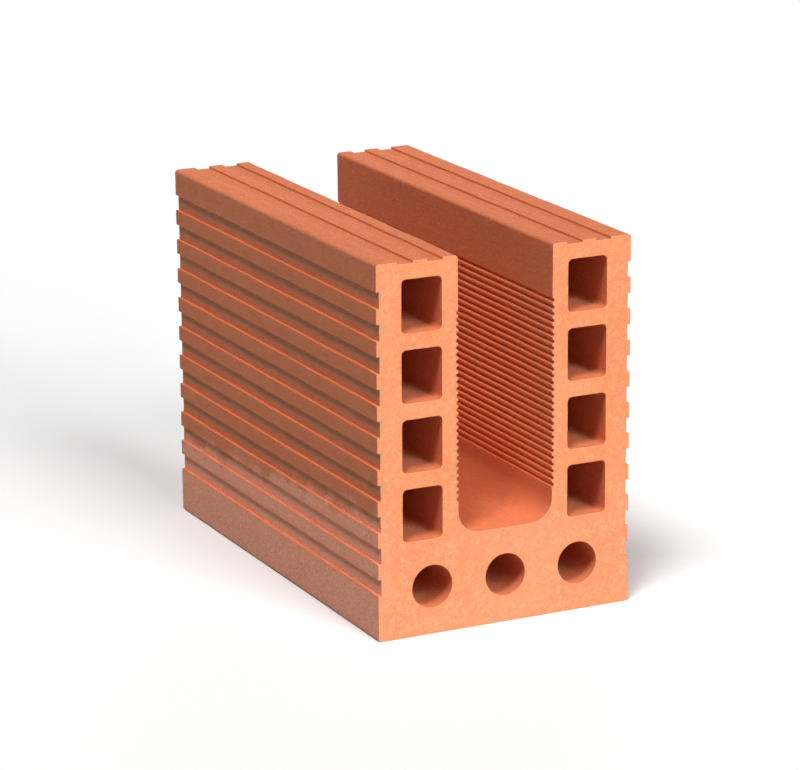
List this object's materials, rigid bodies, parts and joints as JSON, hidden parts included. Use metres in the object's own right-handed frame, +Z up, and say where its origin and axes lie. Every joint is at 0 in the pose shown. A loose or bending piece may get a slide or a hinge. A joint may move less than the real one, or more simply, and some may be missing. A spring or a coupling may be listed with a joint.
{
  "type": "hollow clay block",
  "caption": "U-shaped hollow fired-clay block with an open channel, air cells in both legs, round holes through the base and plaster grooves along the sides.",
  "frame": {"origin": "middle of the base, at floor level", "axes": "+Z up out of the open channel, +Y along the length and the cells, +X across the two legs"},
  "size_m": [0.175, 0.308, 0.238],
  "materials": {
    "fired_clay": "matte"
  },
  "bodies": {
    "root": {"clay_block": "fired_clay"}
  },
  "joints": []
}
